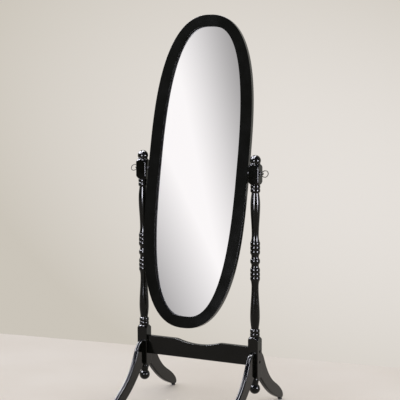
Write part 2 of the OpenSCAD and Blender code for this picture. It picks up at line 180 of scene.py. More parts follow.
def ease_edges(piece, test, radius, segments):
    """Rounds over the edges that pass a test."""
    open_mesh(piece)
    pick_edges(piece, test)
    bpy.ops.mesh.bevel(offset=radius * MM, segments=segments, profile=0.5, affect="EDGES",
                       clamp_overlap=True)
    close_mesh()


def finish_with(piece, kind, **settings):
    """Adds one modifier and applies it."""
    on_bench(piece)
    step = piece.modifiers.new(kind.lower(), kind)
    for name, value in settings.items():
        setattr(step, name, value)
    bpy.ops.object.modifier_apply(modifier=step.name)


def cut(piece, tool, how="DIFFERENCE"):
    """Cuts the piece with a tool, and puts the tool away."""
    finish_with(piece, "BOOLEAN", operation=how, object=tool, solver="EXACT")
    bpy.data.objects.remove(tool)


def drill(piece, start, end, radius, sides=48):
    """Drills from start to end."""
    start, end = Vector(start) * MM, Vector(end) * MM
    run = end - start
    clear_bench()
    bpy.ops.mesh.primitive_cylinder_add(vertices=sides, radius=radius * MM, depth=run.length,
                                        location=(start + end) / 2,
                                        rotation=run.to_track_quat("Z", "Y").to_euler())
    cut(piece, bpy.context.object)


def settle(piece, place):
    """Moves the piece to its place and leaves its object at the origin, unturned."""
    piece.matrix_world = place
    on_bench(piece)
    bpy.ops.object.transform_apply(location=True, rotation=True, scale=True)


def twin(piece, name, place):
    """A copy of a piece with its own mesh, moved to its own place."""
    copy = piece.copy()
    copy.data = piece.data.copy()
    copy.name = copy.data.name = name
    bpy.context.scene.collection.objects.link(copy)
    settle(copy, place)
    return copy


def hand_over(piece, body, node, finish, angle=32):
    """Smooths a finished piece, paints it and mounts it on its body in place of the CAD node."""
    on_bench(piece)
    bpy.ops.object.shade_smooth_by_angle(angle=math.radians(angle))
    finish_with(piece, "WEIGHTED_NORMAL", weight=50, keep_sharp=True)
    piece.data.materials.clear()
    piece.data.materials.append(finish)
    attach(piece, body)
    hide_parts(node)


# Finishes

class Wire:
    """A socket in a finish's node tree that can be used in sums."""

    def __init__(self, tree, socket=None):
        self.tree = tree
        self.socket = socket

    def node(self, kind, settings=None, inputs=None, output=0):
        """Adds a node: its settings first, then the values or links of its sockets."""
        made = self.tree.nodes.new("ShaderNode" + kind)
        for name, value in (settings or {}).items():
            setattr(made, name, value)
        for name, value in (inputs or {}).items():
            socket = made.inputs[name] if isinstance(name, int) else next(
                s for s in made.inputs if s.enabled and s.name == name)
            if isinstance(value, Wire):
                self.tree.links.new(value.socket, socket)
            else:
                socket.default_value = value
        shown = [s for s in made.outputs if s.enabled]
        if isinstance(output, int):
            return Wire(self.tree, shown[output])
        return Wire(self.tree, next(s for s in shown if s.name == output))

    def maths(self, operation, first, second=0.0):
        return self.node("Math", {"operation": operation}, {0: first, 1: second})

    def dot(self, first, second):
        return self.node("VectorMath", {"operation": "DOT_PRODUCT"}, {0: first, 1: second},
                         output="Value")

    def __add__(self, other):
        return self.maths("ADD", self, other)

    def __radd__(self, other):
        return self.maths("ADD", other, self)

    def __sub__(self, other):
        return self.maths("SUBTRACT", self, other)

    def __rsub__(self, other):
        return self.maths("SUBTRACT", other, self)

    def __mul__(self, other):
        return self.maths("MULTIPLY", self, other)

    def __rmul__(self, other):
        return self.maths("MULTIPLY", other, self)

    def mapped(self, settings, low, high, bottom, top):
        """Maps the stretch from low to high onto bottom to top, and holds its ends beyond it."""
        return self.node("MapRange", settings, {"Value": self, "From Min": low, "From Max": high,
                                                "To Min": bottom, "To Max": top})

    def rise(self, low, high, bottom=0.0, top=1.0):
        """Goes smoothly from bottom to top while this value goes from low to high."""
        return self.mapped({"interpolation_type": "SMOOTHSTEP"}, low, high, bottom, top)

    def ramp(self, low, high, bottom, top):
        """Goes evenly from bottom to top while this value goes from low to high."""
        return self.mapped({"interpolation_type": "LINEAR", "clamp": True},
                           low, high, bottom, top)

    def place(self):
        """Object coordinates in metres, which stay with a piece when its body moves."""
        return self.node("TexCoord", output="Object")

    def facing(self):
        """1 where the surface faces to the mirror's own front or back, and 0 on its edge."""
        front = (0, -math.cos(LEAN), math.sin(LEAN))
        return self.maths("ABSOLUTE", self.dot(self.node("TexCoord", output="Normal"), front))

    def outward(self):
        """Above 0 where a surface faces out from the oval's middle, below 0 where it faces in."""
        arm = self.node("VectorMath", {"operation": "SUBTRACT"},
                        {0: self.place(), 1: (0, 0, PIVOT_Z * MM)})
        return self.dot(self.node("TexCoord", output="Normal"), arm)

    def tint(self, first, second):
        """The first colour where this value is 0, the second where it is 1."""
        return self.node("Mix", {"data_type": "RGBA"}, {"Factor": self, "A": first, "B": second})


def new_finish(name):
    """An empty finish: its material and a wire to build on."""
    material = bpy.data.materials.new(name)
    material.use_nodes = True
    material.node_tree.nodes.clear()
    return material, Wire(material.node_tree)


def coat(base, **sockets):
    """Ends a finish with its shader; the keys are socket names with underscores for blanks."""
    by_name = {name.replace("_", " "): value for name, value in sockets.items()}
    shader = base.node("BsdfPrincipled", {}, by_name)
    end = base.tree.nodes.new("ShaderNodeOutputMaterial")
    base.tree.links.new(shader.socket, end.inputs["Surface"])


def grid(base, scale=(1, 1, 1), turn=(0, 0, 0)):
    """Object coordinates, turned to the grain and drawn out along it."""
    point = {"vector_type": "POINT"}
    laid = base.node("Mapping", point, {"Vector": base.place(), "Rotation": turn})
    return base.node("Mapping", point, {"Vector": laid, "Scale": scale})


def noise(base, vector, scale, detail=2.0, roughness=0.5):
    """Cloudy noise around 0.5; scale is its waves to a metre, before any drawing out."""
    return base.node("TexNoise", {}, {"Vector": vector, "Scale": scale, "Detail": detail,
                                      "Roughness": roughness})


def bump(base, height, strength, distance, under=None):
    """Relief over the plain surface, or over the normal that lies under it."""
    inputs = {"Height": height, "Strength": strength, "Distance": distance}
    if under:
        inputs["Normal"] = under
    return base.node("Bump", {}, inputs)


def black_lacquer(name, grain, turn=(0, 0, 0), dull=0.08, shine=0.20, rim=False):
    """Black lacquer over wood, its softened arrises painted a little grey as rubbed wear and
    highlight.

    The pores show faintly through the orange peel that spraying leaves. grain draws the pores
    out along the piece and turn lays them. dull is the least roughness, shine the specular
    level. A rim finish is duller inside the lip and fuller in gloss round its outer edge.
    """
    material, base = new_finish(name)
    plain = base.place()
    pores = noise(base, grid(base, grain, turn), 420.0)
    peel = noise(base, plain, 210.0, 1.0)
    haze = noise(base, plain, 14.0, 3.0, 0.55)
    scuff = noise(base, plain, 95.0, 4.0, 0.7)
    softened = base.node("Bevel", {"samples": 8}, {"Radius": 0.0013})
    sharp = 1.0 - base.dot(softened, base.node("NewGeometry", output="Normal"))
    # Arrises are painted lighter: partly rubbed wear, partly a painted highlight along the edges
    rubbed_and_lit_edge = sharp.rise(0.03, 0.16) * scuff.rise(0.35, 0.62, 0.35, 0.8)
    surface = bump(base, peel, 0.02, 0.0004, bump(base, pores, 0.02, 0.0003, softened))
    depth = pores * 0.5 + haze * 0.5
    colour = depth.tint((0.0015, 0.0017, 0.0010, 1), (0.0036, 0.0039, 0.0024, 1))
    rough = haze.rise(0.30, 0.72, dull, dull + 0.06) + rubbed_and_lit_edge * 0.05
    sockets = {}
    if rim:
        aslant = base.facing().rise(0.03, 0.30, 1.0, 0.0)
        outside = base.outward().rise(0.0, 0.05, 0.0, 0.7)
        sockets = {"Coat_Weight": aslant * outside, "Coat_Roughness": 0.12}
        rough = rough + aslant * base.outward().rise(-0.05, 0.0, 0.4, 0.0)
    # The grey on the arrises is partly wear and partly a painted highlight
    coat(base, Base_Color=rubbed_and_lit_edge.tint(colour, (0.022, 0.021, 0.022, 1)),
         Roughness=rough, Specular_IOR_Level=shine, Normal=surface, **sockets)
    return material


def mirror_silver():
    """Float glass silvered on the back: clear over the face, green at the ground edge.

    A few wiping marks and specks dull it very faintly.
    """
    material, base = new_finish("mirror_glass")
    wipes = noise(base, grid(base, (1, 1, 0.25), (0, 0.6, 0)), 9.0, 5.0, 0.6)
    specks = noise(base, base.place(), 240.0)
    front = base.facing().rise(0.5, 0.9)
    dulling = wipes.rise(0.48, 0.80, 0.004, 0.035) + specks.rise(0.68, 0.80) * 0.02
    coat(base, Base_Color=front.tint((0.10, 0.22, 0.17, 1), (0.96, 0.957, 0.958, 1)),
         Metallic=front, Roughness=dulling)
    return material


def metal(name, dark, light, roughness, along=(1, 1, 1)):
    """Plated steel with fine lathe lines, a cloudy tone and a little tarnish."""
    material, base = new_finish(name)
    plain = base.place()
    lines = noise(base, grid(base, along), 2600.0)
    cloud = noise(base, plain, 130.0, 4.0, 0.6)
    tarnish = noise(base, plain, 420.0, 5.0, 0.7).rise(0.55, 0.72)
    clean = (lines * 0.5 + cloud * 0.5).rise(0.3, 0.7).tint(dark, light)
    stained = tuple(v * 0.55 for v in dark[:3]) + (1,)
    rough = cloud.rise(0.3, 0.7, roughness - 0.06, roughness + 0.08) + tarnish * 0.15
    coat(base, Base_Color=tarnish.tint(clean, stained), Metallic=1.0 - tarnish * 0.25,
         Roughness=rough, Normal=bump(base, lines, 0.12, 0.0002))
    return material


def moulded_plastic():
    """Black moulded plastic with fine spark texture, its edges painted lighter as wear and
    highlight.
    """
    material, base = new_finish("black_plastic")
    plain = base.place()
    spark = noise(base, plain, 2200.0, 3.0, 0.7)
    cloud = noise(base, plain, 90.0, 3.0)
    # Convex edges are painted lighter: partly rubbed wear, partly a painted highlight
    rubbed_and_lit_edge = base.node("NewGeometry", output="Pointiness").rise(0.52, 0.62)
    colour = cloud.tint((0.010, 0.010, 0.011, 1), (0.018, 0.018, 0.018, 1))
    coat(base, Base_Color=rubbed_and_lit_edge.tint(colour, (0.045, 0.044, 0.042, 1)),
         Roughness=cloud.rise(0.3, 0.7, 0.38, 0.52), Specular_IOR_Level=0.4,
         Normal=bump(base, spark, 0.2, 0.0003))
    return material


def hardboard():
    """Brown hardboard: pressed fibres, flecks and a slightly polished face."""
    material, base = new_finish("hardboard")
    plain = base.place()
    fibre = noise(base, plain, 620.0, 6.0, 0.75)
    fleck = noise(base, grid(base, (1, 1, 0.35), (0, 0.4, 0)), 300.0, 3.0, 0.6).rise(0.60, 0.70)
    cloud = noise(base, plain, 11.0, 4.0, 0.6)
    tone = (fibre * 0.55 + cloud * 0.45).rise(0.32, 0.68)
    colour = tone.tint((0.105, 0.056, 0.026, 1), (0.215, 0.125, 0.062, 1))
    coat(base, Base_Color=fleck.tint(colour, (0.33, 0.22, 0.12, 1)),
         Roughness=fibre.rise(0.3, 0.7, 0.48, 0.68), Normal=bump(base, fibre, 0.25, 0.0004))
    return material


def foam():
    """Thin white packing foam with closed cells."""
    material, base = new_finish("foam")
    cells = base.node("TexVoronoi", {"feature": "F1"}, {"Vector": base.place(), "Scale": 650.0},
                      output="Distance")
    tone = cells.rise(0.1, 0.8)
    coat(base, Base_Color=tone.tint((0.84, 0.84, 0.81, 1), (0.68, 0.68, 0.64, 1)),
         Roughness=cells.rise(0.0, 0.8, 0.75, 0.92), Normal=bump(base, cells, 0.4, 0.0008))
    return material


def bare_wood():
    """Beech dowel, with rings and flecks drawn out along its length."""
    material, base = new_finish("bare_wood")
    rings = noise(base, grid(base, (1, 0.06, 1)), 700.0, 4.0, 0.6)
    flecks = noise(base, grid(base, (1, 0.2, 1)), 1800.0).rise(0.6, 0.72)
    colour = rings.rise(0.3, 0.7).tint((0.50, 0.32, 0.17, 1), (0.70, 0.50, 0.29, 1))
    coat(base, Base_Color=flecks.tint(colour, (0.34, 0.19, 0.09, 1)),
         Roughness=rings.rise(0.3, 0.7, 0.55, 0.70), Normal=bump(base, rings, 0.2, 0.0003))
    return material


def pale_floor():
    """A plain pale floor with hardly any variation."""
    material, base = new_finish("pale_floor")
    cloud = noise(base, base.place(), 1.6, 3.0)
    tone = cloud.rise(0.3, 0.7)
    coat(base, Base_Color=tone.tint((0.672, 0.618, 0.54, 1), (0.708, 0.66, 0.587, 1)),
         Roughness=cloud.rise(0.3, 0.7, 0.75, 0.85), Specular_IOR_Level=0.0)
    return material


# The legs' grain runs down their slope
SLOPE = math.radians(42)
POSTS = black_lacquer("black_lacquer_posts", (1, 1, 0.035))
STRETCHER = black_lacquer("black_lacquer_stretcher", (0.035, 1, 1), dull=0.13, shine=0.18)
BACK_LEGS = black_lacquer("black_lacquer_back_legs", (1, 0.05, 1), (SLOPE, 0, 0))
FRONT_LEGS = black_lacquer("black_lacquer_front_legs", (1, 0.05, 1), (-SLOPE, 0, 0))
OVAL = black_lacquer("black_lacquer_oval", (1, 1, 0.05), (LEAN, 0, 0), dull=0.17, shine=0.065,
                     rim=True)
GLASS = mirror_silver()
DARK_STEEL = metal("dark_steel", (0.011, 0.0107, 0.0088, 1), (0.030, 0.0288, 0.0242, 1), 0.38,
                   (1, 0.05, 0.05))
ZINC_STEEL = metal("zinc_steel", (0.50, 0.50, 0.47, 1), (0.68, 0.68, 0.66, 1), 0.32, (1, 0.2, 1))
PLASTIC = moulded_plastic()
HARDBOARD = hardboard()
FOAM = foam()
BEECH = bare_wood()


# Turned posts: stretches of the turning, each drawn upwards and without its last corner

def bead(middle, foot, top, height, steps=12):
    """One bead, from the radius at its foot out to its top and back."""
    return [(foot + (top - foot) * math.sin(math.pi * i / steps),
             middle - height / 2 * math.cos(math.pi * i / steps)) for i in range(steps)]


def falling(z0, r0, z1, r1, steps=6):
    """A cove that runs out level with the post."""
    return [(r1 + (r0 - r1) * (1 - i / steps) ** 2, z0 + (z1 - z0) * i / steps)
            for i in range(steps)]


def rising(z0, r0, z1, r1, steps=6):
    """A cove that starts level with the post."""
    return [(r0 + (r1 - r0) * (i / steps) ** 2, z0 + (z1 - z0) * i / steps)
            for i in range(steps)]


def swelling(z0, r0, z1, r1, steps=22):
    """The slim part of a vase, which swells to its belly."""
    return [(r0 + (r1 - r0) * (1 - math.cos(math.pi * i / steps)) / 2, z0 + (z1 - z0) * i / steps)
            for i in range(steps)]


def shrinking(z0, r0, z1, r1, steps=16):
    """The belly of a vase, which shrinks to its neck."""
    return [(r1 + (r0 - r1) * math.cos(math.pi / 2 * i / steps), z0 + (z1 - z0) * i / steps)
            for i in range(steps)]


def ball(middle, radius, start, end, steps=22):
    """An arc of a ball between two angles above its middle, in degrees."""
    angles = [math.radians(start + (end - start) * i / steps) for i in range(steps)]
    return [(radius * math.cos(a), middle + radius * math.sin(a)) for a in angles]


def shoulder(z, up, steps=10):
    """The rounded shoulder of a block, from the turning out past the block's corners."""
    neck, spread, height = 17.2, 11.709, 13.5
    return [(neck + spread * i / steps, z + up * height * (i / steps) ** 1.5)
            for i in range(steps + 1)]


def post_outline():
    """The turning from the pendant's foot to the finial's top, drawn past the square blocks."""
    neck, crest = 16.3, 18.4
    # From the middle of the spindle upwards: half a bead, a cove, three beads, a vase, two beads
    half = [p for p in bead(0, 15.3, crest, 18) if p[1] > 0.001]
    half += falling(9, 15.3, 17, 14) + rising(17, 14, 26.4, neck)
    for j in range(3):
        half += bead(26.4 + (j + 0.5) * 15.6, neck, crest, 15.6)
    half += falling(73.2, neck, 96, 13.4) + swelling(96, 13.4, 209.95, 18.2)
    half += shrinking(209.95, 18.2, 255.25, 14.2) + rising(255.25, 14.2, 257.85, neck, 3)
    for j in range(2):
        half += bead(257.85 + (j + 0.5) * 14.2, neck, crest, 14.2)
    half += [(neck, 286.25)]
    pendant = (ball(101, 20.28, -90, 48.3) + rising(116.1, 13.5, 130.5, 15.5)
               + bead(135.75, 15.5, 17, 10.5))
    lower_block = shoulder(141, 1) + shoulder(300.5, -1)[::-1]
    spindle = ([(r, SPINDLE_MID - z) for r, z in half[::-1]] + [(crest, SPINDLE_MID)]
               + [(r, SPINDLE_MID + z) for r, z in half])
    upper_block = shoulder(873, 1) + shoulder(949.5, -1)[::-1]
    finial = bead(951.2, 16.8, 18.8, 3.4, 8) + ball(962.5, 20.2, -28.4, 90) + [(0, 982.7)]
    return pendant + lower_block + spindle + upper_block + finial


def make_posts():
    """Each post is one stick, turned and left square at its blocks, whose corners are eased."""
    post = turned("post_right", post_outline(), (POST_X, 0, 0), UP, RIGHT, 80)
    clear_bench()
    side = 2 * BLOCK_FACE * MM
    bpy.ops.mesh.primitive_cube_add(size=1, location=(POST_X * MM, 0, 0.53),
                                    scale=(side, side, 1))
    blank = named("post_blank")
    settle(blank, blank.matrix_world.copy())
    ease_edges(blank, lambda e: spread(e)[2] > 0.5, radius=2.6, segments=7)
    cut(post, blank, "INTERSECT")
    inside, outside = POST_X - 30, POST_X + 30
    recess_radius, recess_depth = 5.6, 7
    drill(post, (inside, 0, PIVOT_Z), (outside, 0, PIVOT_Z), SCREW_HOLE)
    for z in BOLT_HEIGHTS:
        drill(post, (inside, 0, z), (outside, 0, z), SCREW_HOLE)
        drill(post, (OUTER_FACE - recess_depth, 0, z), (OUTER_FACE + 10, 0, z), recess_radius)
    left = twin(post, "post_left", HALF_TURN)
    hand_over(post, "stand", "right_post", POSTS)
    hand_over(left, "stand", "left_post", POSTS)


# Stretcher and scrolled legs

def scallop(x, half=92, radius=293.33, depth=14.8, soft=6):
    """Depth of the scallop in the stretcher's upper edge, an arc with its two ends softened."""
    def arc(place):
        if abs(place) >= half:
            return 0.0
        return math.sqrt(radius ** 2 - place ** 2) - (radius - depth)
    return sum(arc(x + 1.25 * k) for k in range(-soft, soft + 1)) / (2 * soft + 1)


def make_stretcher():
    """The board between the lower blocks, with a cross hole from the back for each barrel nut."""
    end, foot, top = 216.7, 189.5, 260.5
    face, thickness, hole_floor = -9.5, 19, -7.1
    reach, steps = 112, 64
    stops = [end] + [reach - 2 * reach * i / steps for i in range(steps + 1)] + [-end]
    outline = [(-end, face, foot), (end, face, foot)]
    outline += [(x, face, top - scallop(x)) for x in stops]
    board = sawn("stretcher_board", outline, (0, thickness, 0))
    ease_edges(board, lambda e: spread(e)[1] < 1e-5 and spread(e)[0] > 1e-4,
               radius=2.0, segments=4)
    for x in (-NUT_X, NUT_X):
        for z in BOLT_HEIGHTS:
            drill(board, (x, hole_floor, z), (x, 12, z), HARDWARE_HOLE)
    hand_over(board, "stand", "stretcher", STRETCHER)


def curve(p0, p1, p2, p3, steps=14):
    """A cubic curve without its last corner."""
    p0, p1, p2, p3 = map(Vector, (p0, p1, p2, p3))
    return [(1 - k) ** 3 * p0 + 3 * (1 - k) ** 2 * k * p1 + 3 * (1 - k) * k * k * p2 + k ** 3 * p3
            for k in (i / steps for i in range(steps))]


def make_legs():
    """Four legs from one scroll, drawn from the side: its back, its toe, its sole, its belly."""
    thickness = 18
    line = curve((20.3, 244), (42, 240), (58, 226), (70, 203))
    line += curve((70, 203), (92, 161), (118, 117), (180, 82), 18)
    line += curve((180, 82), (206, 67.3), (247, 42), (252, 20))
    line += curve((252, 20), (253.3, 12), (250, 6), (244, 6), 7)
    line += [Vector((244, 6)), Vector((229, 6))]
    line += curve((222, 10.5), (108, 50), (64, 112), (20.3, 147), 26)
    line += [Vector((20.3, 147))]
    outline = [(POST_X - thickness / 2, y, z) for y, z in line]
    leg = sawn("leg_back_right", outline, (thickness, 0, 0))
    joint = BLOCK_FACE * MM + 1e-5
    ease_edges(leg, lambda e: spread(e)[0] < 1e-5 and max(v.co.y for v in e.verts) > joint,
               radius=5.0, segments=7)
    to_post = Matrix.Translation((POST_X * MM, 0, 0))
    front_right = twin(leg, "leg_front_right", to_post @ HALF_TURN @ to_post.inverted())
    front_left = twin(leg, "leg_front_left", HALF_TURN)
    back_left = twin(front_right, "leg_back_left", HALF_TURN)
    for piece, node, finish in ((leg, "back_right_leg", BACK_LEGS),
                                (back_left, "back_left_leg", BACK_LEGS),
                                (front_right, "front_right_leg", FRONT_LEGS),
                                (front_left, "front_left_leg", FRONT_LEGS)):
        hand_over(piece, "stand", node, finish)


def make_glides():
    """Nail-on glides, one under each toe."""
    foot_y, lip = 238, 2.1
    outline = [(0, 0), (5.9, 0)]
    outline += [(5.9 + lip * math.sin(math.radians(a)), lip - lip * math.cos(math.radians(a)))
                for a in (15, 30, 45, 60, 75, 90)]
    outline += [(8, 5.5), (7.5, 6), (1.5, 6), (1.5, 16), (0, 18)]
    first = turned("foot_glide_1", outline, (POST_X, foot_y, 0), UP, RIGHT, 40)
    across = Matrix.Translation((-2 * POST_X * MM, 0, 0))
    forward = Matrix.Translation((0, -2 * foot_y * MM, 0))
    glides = [first, twin(first, "foot_glide_2", across), twin(first, "foot_glide_3", HALF_TURN),
              twin(first, "foot_glide_4", forward)]
    for piece in glides:
        hand_over(piece, "stand", "foot_glides", PLASTIC)


# Oval frame and what it holds

def oval_point(a, b, t, side=2.7, end=2.7):
    """A point of the full oval, t in degrees.

    A fuller side is straighter and a fuller end is flatter; an ellipse has 2 for both.
    """
    c, s = math.cos(math.radians(t)), math.sin(math.radians(t))
    k = 1.0
    for _ in range(8):
        across, up = abs(k * c) ** end, abs(k * s) ** side
        k -= k * (across + up - 1) / (end * across + side * up)
    return a * k * c, b * k * s


def swept_oval(name, section, steps=240):
    """A ring swept round the oval.

    Each corner of its section is a half width, a half height, a depth and, for the outer edge,
    its own fullness of sides and ends.
    """
    clear_bench()
    bpy.ops.mesh.primitive_circle_add(vertices=steps, fill_type="NOTHING")
    piece = named(name)
    a, b, y, *fullness = section[0]
    for i, corner in enumerate(piece.data.vertices):
        x, z = oval_point(a, b, 360 * i / steps, *fullness)
        corner.co = Vector((x, y, z)) * MM
    open_mesh(piece)
    for next_a, next_b, y, *fullness in section[1:] + section[:1]:
        bpy.ops.mesh.extrude_edges_move()
        mesh = bmesh.from_edit_mesh(piece.data)
        for corner in [v for v in mesh.verts if v.select]:
            t = math.degrees(math.atan2(corner.co.z / b, corner.co.x / a))
            x, z = oval_point(next_a, next_b, t, *fullness)
            corner.co = Vector((x, y, z)) * MM
        bmesh.update_edit_mesh(piece.data)
        a, b = next_a, next_b
    true_up()
    close_mesh()
    return piece


def make_oval_frame():
    """The section runs from the back, over the eased front edge and the lip, to the rebates."""
    outer = (3.1, 2.35)
    section = [(208, 592, 9.5, *outer), (209, 593, 8.5, *outer), (209, 593, 1, *outer),
               (209, 593, -8.4, *outer)]
    for angle in (22.5, 45, 67.5, 90):
        s, c = math.sin(math.radians(angle)), math.cos(math.radians(angle))
        section.append((207.9 + 1.1 * c, 591.9 + 1.1 * c, -8.4 - 1.1 * s, *outer))
    section += [(186, 571, -9.5), (164.4, 550.9, -9.5)]
    for angle in (30, 60, 90):
        s, c = math.sin(math.radians(angle)), math.cos(math.radians(angle))
        section.append((164.4 - 1.4 * s, 550.9 - 1.4 * s, -8.1 - 1.4 * c))
    section += [(163, 549.5, -0.5), (163.5, 550, 0), (170, 556.5, 0), (170, 556.5, 5),
                (180, 566.5, 5), (180, 566.5, 9), (180.5, 567, 9.5), (194, 578, 9.5)]
    oval = swept_oval("oval_rail", section)
    for side in (-1, 1):
        drill(oval, (side * 191, 0, 0), (side * 215, 0, 0), HARDWARE_HOLE)
    settle(oval, HANG)
    hand_over(oval, "mirror", "oval_frame", OVAL, 40)


def slot_head(piece, width, length, height, turn):
    """Mills a slot across the head of a screw whose head faces back."""
    cutter = 1.8
    clear_bench()
    bpy.ops.mesh.primitive_cube_add(size=MM, location=(0, height * MM, 0), rotation=(0, turn, 0),
                                    scale=(length, cutter, width))
    cut(piece, bpy.context.object)


def make_backing_screws():
    """Ten cross-slotted wood screws in the rebate round the backing board."""
    outline = [(0, -1), (0.9, 0.6), (1.5, 2), (1.5, 8), (3, 8), (3.2, 8.25), (3.1, 8.7),
               (2.6, 9.05), (1.8, 9.25), (0.9, 9.3), (0, 9.3)]
    screw = turned("backing_screw_1", outline, (0, 0, 0), BACK, RIGHT, 28)
    for turn in (0, math.pi / 2):
        slot_head(screw, width=0.75, length=3.6, height=9.35, turn=turn)
    screws = [screw]
    for i in range(1, 10):
        screws.append(twin(screw, f"backing_screw_{i + 1}", Matrix.Identity(4)))
    # Spaced evenly round the board, each with its slots stopped at another angle
    for i, piece in enumerate(screws):
        x, z = oval_point(175, 561.5, 18 + 36 * i)
        driven = Matrix.Translation((x * MM, 0, z * MM)) @ Matrix.Rotation(0.61 * i, 4, "Y")
        settle(piece, HANG @ driven)
        hand_over(piece, "mirror", "backing_screws", ZINC_STEEL)


# Hardware on the tilting axis and in the lower blocks

def cut_thread(screw, tip, shank, end):
    """Cuts a thread in the shank of a screw that points left, and runs it out at its end."""
    start, depth, pitch, run_out = 1.1, 0.46, 1, 3
    for corner in screw.data.vertices:
        along = corner.co.x / MM - tip
        if start < along < end - 0.1:
            up, out = corner.co.z / MM - PIVOT_Z, corner.co.y / MM
            turn = along / pitch - math.atan2(up, out) / math.tau
            fade = min(1.0, (end - along) / run_out)
            radius = shank - depth * fade * abs(2 * (turn % 1.0) - 1)
            reach = math.hypot(up, out)
            corner.co.y = out * radius / reach * MM
            corner.co.z = (PIVOT_Z + up * radius / reach) * MM


def swung(degrees):
    """A turn about the tilting axis."""
    return PIVOT_AXIS @ Matrix.Rotation(math.radians(degrees), 4, "X") @ PIVOT_AXIS.inverted()


def make_thumb_screws():
    """Threaded shank, boss and finger ring, made on the right with the ring upright."""
    tip, shank, thread_end, ring_x = 196.5, 3, 53, 275.9
    # Four corners to each turn of the thread
    outline = [(0, 0), (2, 0), (shank, 1)] + [(shank, 1 + 0.25 * i) for i in range(1, 209)]
    outline += [(shank, 65.4), (4.2, 65.4), (4.5, 65.7), (4.5, 70.3), (4.3, 70.9), (3.9, 71.7),
                (3.3, 72.6), (2.4, 73.2), (1.2, 73.52), (0, 73.6)]
    screw = turned("ring_screw_right", outline, (tip, 0, PIVOT_Z), RIGHT, UP, 28)
    cut_thread(screw, tip, shank, thread_end)
    clear_bench()
    bpy.ops.mesh.primitive_torus_add(major_radius=12.4 * MM, minor_radius=1.6 * MM,
                                     major_segments=96, minor_segments=20,
                                     rotation=(math.pi / 2, 0, 0),
                                     location=(ring_x * MM, 0, PIVOT_Z * MM))
    cut(screw, bpy.context.object, "UNION")
    # The rings rest at the angles at which the photo shows them
    left = twin(screw, "ring_screw_left", swung(-30) @ HALF_TURN)
    settle(screw, swung(-19))
    hand_over(screw, "right_screw", "right_thumb_screw", DARK_STEEL, 40)
    hand_over(left, "left_screw", "left_thumb_screw", DARK_STEEL, 40)


def make_collars_and_spacers():
    """The domed collar under each screw's boss, and the sleeve between the oval and each post."""
    bore = 3.12
    dome = [(bore, 0), (9.7, 0), (10, 0.3), (10, 1.2), (9.6, 1.75), (8.8, 2.48), (7.9, 3.05),
            (6.9, 3.52), (6, 3.82), (5.1, 4), (3.5, 4), (bore, 3.6), (bore, 0)]
    sleeve = [(bore, 0), (7.6, 0), (8, 0.4), (8, 7), (7.6, 7.4), (bore, 7.4), (bore, 0)]
    collar = turned("collar_disc_right", dome, (257.6, 0, PIVOT_Z), RIGHT, UP, 56)
    spacer = turned("spacer_sleeve_right", sleeve, (209.3, 0, PIVOT_Z), RIGHT, UP, 48)
    other_collar = twin(collar, "collar_disc_left", HALF_TURN)
    other_spacer = twin(spacer, "spacer_sleeve_left", HALF_TURN)
    hand_over(collar, "right_collar", "right_collar", PLASTIC)
    hand_over(other_collar, "left_collar", "left_collar", PLASTIC)
    hand_over(spacer, "stand", "right_spacer", PLASTIC)
    hand_over(other_spacer, "stand", "left_spacer", PLASTIC)


def make_bolts_and_nuts():
    """Socket bolts through the lower blocks, and the slotted barrel nuts that they screw into."""
    tip, socket_floor, socket_radius = 180.3, 252.3, 2.5
    bolt_hole, slot = 3.1, (12, 2.4, 1.3)
    shank = [(0, 0), (2.2, 0), (3, 0.8), (3, 70), (4.7, 70), (5, 70.3), (5, 73.5), (4.85, 73.85),
             (4.6, 74), (0, 74)]
    barrel = [(0, -7), (4.4, -7), (5, -6.4), (5, 6.4), (4.4, 7), (0, 7)]
    for i, z in enumerate(BOLT_HEIGHTS):
        bolt = turned(f"right_stretcher_bolt_{i + 1}", shank, (tip, 0, z), RIGHT, UP, 40)
        drill(bolt, (socket_floor, 0, z), (256, 0, z), socket_radius, sides=6)
        nut = turned(f"right_barrel_nut_{i + 1}", barrel, (NUT_X, 0, z), BACK, RIGHT, 40)
        drill(nut, (178, 0, z), (195, 0, z), bolt_hole, sides=32)
        clear_bench()
        bpy.ops.mesh.primitive_cube_add(size=MM, location=(NUT_X * MM, 7.2 * MM, z * MM),
                                        scale=slot)
        cut(nut, bpy.context.object)
        other_bolt = twin(bolt, f"left_stretcher_bolt_{i + 1}", HALF_TURN)
        # The slots face the back on both sides, so the left nut is shifted and not turned
        other_nut = twin(nut, f"left_barrel_nut_{i + 1}",
                         Matrix.Translation((-2 * NUT_X * MM, 0, 0)))
        for piece, side in ((bolt, "right"), (other_bolt, "left")):
            hand_over(piece, "stand", f"{side}_stretcher_bolts", DARK_STEEL)
        for piece, side in ((nut, "right"), (other_nut, "left")):
            hand_over(piece, "stand", f"{side}_barrel_nuts", ZINC_STEEL)


def paint_kept_nodes():
    """The CAD nodes whose shape is right keep it and get their finish."""
    kept = {"mirror_glass": GLASS, "foam_sheet": FOAM, "backing_board": HARDBOARD,
            "leg_dowels": BEECH, "left_threaded_insert": ZINC_STEEL,
            "right_threaded_insert": ZINC_STEEL}
    for name, finish in kept.items():
        for slot in frame["nodes"][name].material_slots:
            slot.material = finish


# Studio

def make_camera():
    """The photo's own view, fitted to the outlines of the oval, the posts and the feet."""
    camera = bpy.data.objects.new("camera", bpy.data.cameras.new("camera"))
    bpy.context.scene.collection.objects.link(camera)
    camera.location = (2.25568, -4.43538, 1.44417)
    camera.rotation_euler = (1.442571, 0.002318, 0.468755)
    camera.data.sensor_width = 36
    camera.data.lens = 119.64
    camera.data.clip_end = 60
    bpy.context.scene.camera = camera


def make_floor():
    """A plain floor that ends where the photo's wall begins, a little off the stretcher's line."""
    clear_bench()
    bpy.ops.mesh.primitive_plane_add(size=1)
    floor = named("floor")
    width, depth = 14, 7
    wall_foot = Vector((0.0209, 0.8526, 0))
    turn = Matrix.Rotation(math.radians(6.67), 4, "Z")
    for corner in floor.data.vertices:
        place = Vector((corner.co.x * width, (corner.co.y - 0.5) * depth, 0))
        corner.co = wall_foot + turn @ place
    floor.data.materials.append(pale_floor())


